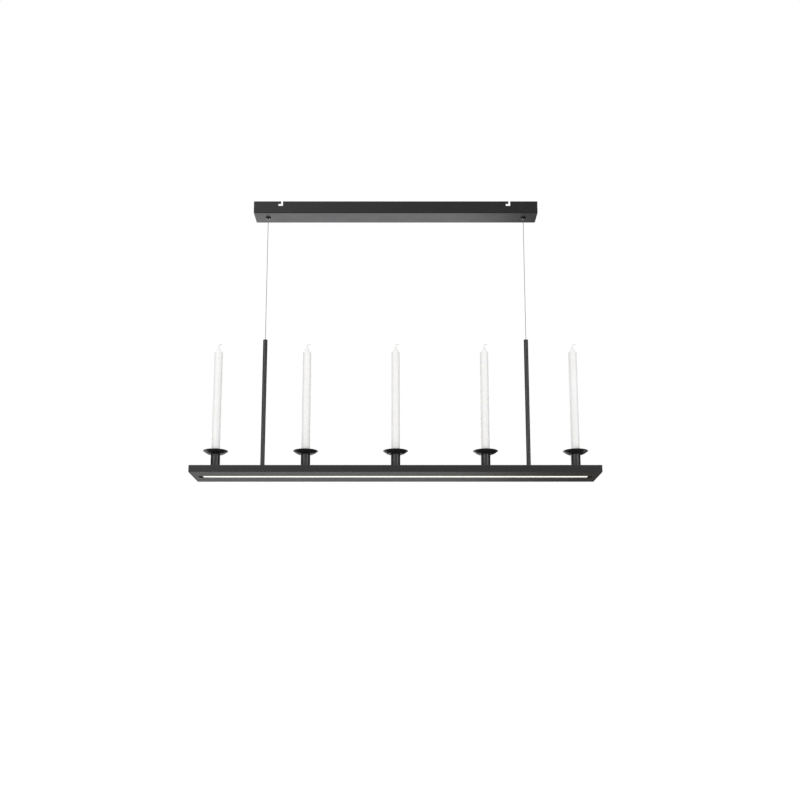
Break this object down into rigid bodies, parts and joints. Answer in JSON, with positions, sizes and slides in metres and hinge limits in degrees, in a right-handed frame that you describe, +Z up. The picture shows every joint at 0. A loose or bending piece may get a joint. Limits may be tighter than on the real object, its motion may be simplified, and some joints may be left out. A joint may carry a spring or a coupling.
{
  "type": "linear island pendant",
  "caption": "Slim linear pendant: long flat beam with a light line below and taper candles above, on two rods and wires under a notched canopy.",
  "frame": {"origin": "middle of the canopy's upper rim, in the plane of the ceiling", "axes": "+Z up, +X along the beam to the viewer's right, -Y towards the viewer"},
  "size_m": [1.1, 0.145, 0.785],
  "materials": {
    "black_satin_paint": "satin black powder coat on sheet steel",
    "black_holder_paint": "semi-gloss black powder coat on turned steel",
    "black_plating": "black-plated brass",
    "bright_nickel": "polished nickel plate",
    "steel": "zinc-plated steel",
    "spring_steel": "spring steel",
    "clear_wire": "fine stranded steel wire in a clear sleeve",
    "aluminium": "natural anodised extrusion",
    "dark_end_cap": "moulded black plastic",
    "opal": "opal diffuser, lit warm white",
    "led_board": "white flexible circuit board",
    "led_phosphor": "yellow phosphor",
    "circuit_board": "green circuit board with parts",
    "driver_metal": "ribbed aluminium extrusion",
    "driver_plastic": "moulded white plastic",
    "terminal_plastic": "moulded natural plastic",
    "brass": "turned brass",
    "clip_plastic": "moulded plastic",
    "candle_wax": "smooth white wax",
    "wick_cotton": "waxed braided cotton"
  },
  "bodies": {
    "canopy": {"canopy_tray": "black_satin_paint", "driver_board": "circuit_board", "driver_case": "driver_metal", "driver_end_caps": "driver_plastic", "earth_nuts": "steel", "earth_stud": "steel", "fitting_screws": "steel", "gripper_barrel_left": "black_plating", "gripper_barrel_right": "black_plating", "gripper_caps": "bright_nickel", "gripper_nuts": "bright_nickel", "gripper_spring_left": "spring_steel", "gripper_spring_right": "spring_steel", "output_wire_left": "clear_wire", "output_wire_right": "clear_wire", "terminal_block": "terminal_plastic", "terminal_clamps": "brass", "terminal_screws": "steel", "wire_clips": "clip_plastic"},
    "release_left": {"release_nozzle_left": "bright_nickel", "gripper_balls_left": "steel"},
    "release_right": {"release_nozzle_right": "bright_nickel", "gripper_balls_right": "steel"},
    "wires": {"wire_left": "clear_wire", "wire_right": "clear_wire"},
    "beam": {"beam_bottom_plate": "black_satin_paint", "beam_leads": "clear_wire", "beam_shell": "black_satin_paint", "candle_socket_1": "black_holder_paint", "candle_socket_2": "black_holder_paint", "candle_socket_3": "black_holder_paint", "candle_socket_4": "black_holder_paint", "candle_socket_5": "black_holder_paint", "channel_end_caps": "dark_end_cap", "cover_clips": "spring_steel", "diffuser": "opal", "drip_pan_1": "black_holder_paint", "drip_pan_2": "black_holder_paint", "drip_pan_3": "black_holder_paint", "drip_pan_4": "black_holder_paint", "drip_pan_5": "black_holder_paint", "holder_screws": "steel", "led_board": "led_board", "led_channel": "aluminium", "led_chips": "led_phosphor", "rod_left": "black_satin_paint", "rod_nuts": "steel", "rod_plugs": "black_satin_paint", "rod_right": "black_satin_paint", "wire_end_stops": "bright_nickel"},
    "candle_1": {"candle_1": "candle_wax", "wick_1": "wick_cotton"},
    "candle_2": {"candle_2": "candle_wax", "wick_2": "wick_cotton"},
    "candle_3": {"candle_3": "candle_wax", "wick_3": "wick_cotton"},
    "candle_4": {"candle_4": "candle_wax", "wick_4": "wick_cotton"},
    "candle_5": {"candle_5": "candle_wax", "wick_5": "wick_cotton"}
  },
  "joints": [
    {"name": "release_left", "type": "slide", "parent": "canopy", "child": "release_left", "axis": [0, 0, 1], "range_m": [0, 0.002], "stiffness_N_per_m": 1500, "springref_m": -0.003, "deforming": ["gripper_spring_left"]},
    {"name": "release_right", "type": "slide", "parent": "canopy", "child": "release_right", "axis": [0, 0, 1], "range_m": [0, 0.002], "stiffness_N_per_m": 1500, "springref_m": -0.003, "deforming": ["gripper_spring_right"]},
    {"name": "swing", "type": "hinge", "parent": "canopy", "child": "wires", "pos_m": [0, 0, -0.041], "axis": [1, 0, 0], "range_deg": [-12, 12]},
    {"name": "height_adjust", "type": "slide", "parent": "wires", "child": "beam", "axis": [0, 0, 1], "range_m": [-0.2, 0.3], "deforming": ["wire_left", "wire_right"]},
    {"name": "candle_1_lift", "type": "slide", "parent": "beam", "child": "candle_1", "axis": [0, 0, 1], "range_m": [0, 0.04]},
    {"name": "candle_2_lift", "type": "slide", "parent": "beam", "child": "candle_2", "axis": [0, 0, 1], "range_m": [0, 0.04]},
    {"name": "candle_3_lift", "type": "slide", "parent": "beam", "child": "candle_3", "axis": [0, 0, 1], "range_m": [0, 0.04]},
    {"name": "candle_4_lift", "type": "slide", "parent": "beam", "child": "candle_4", "axis": [0, 0, 1], "range_m": [0, 0.04]},
    {"name": "candle_5_lift", "type": "slide", "parent": "beam", "child": "candle_5", "axis": [0, 0, 1], "range_m": [0, 0.04]}
  ]
}
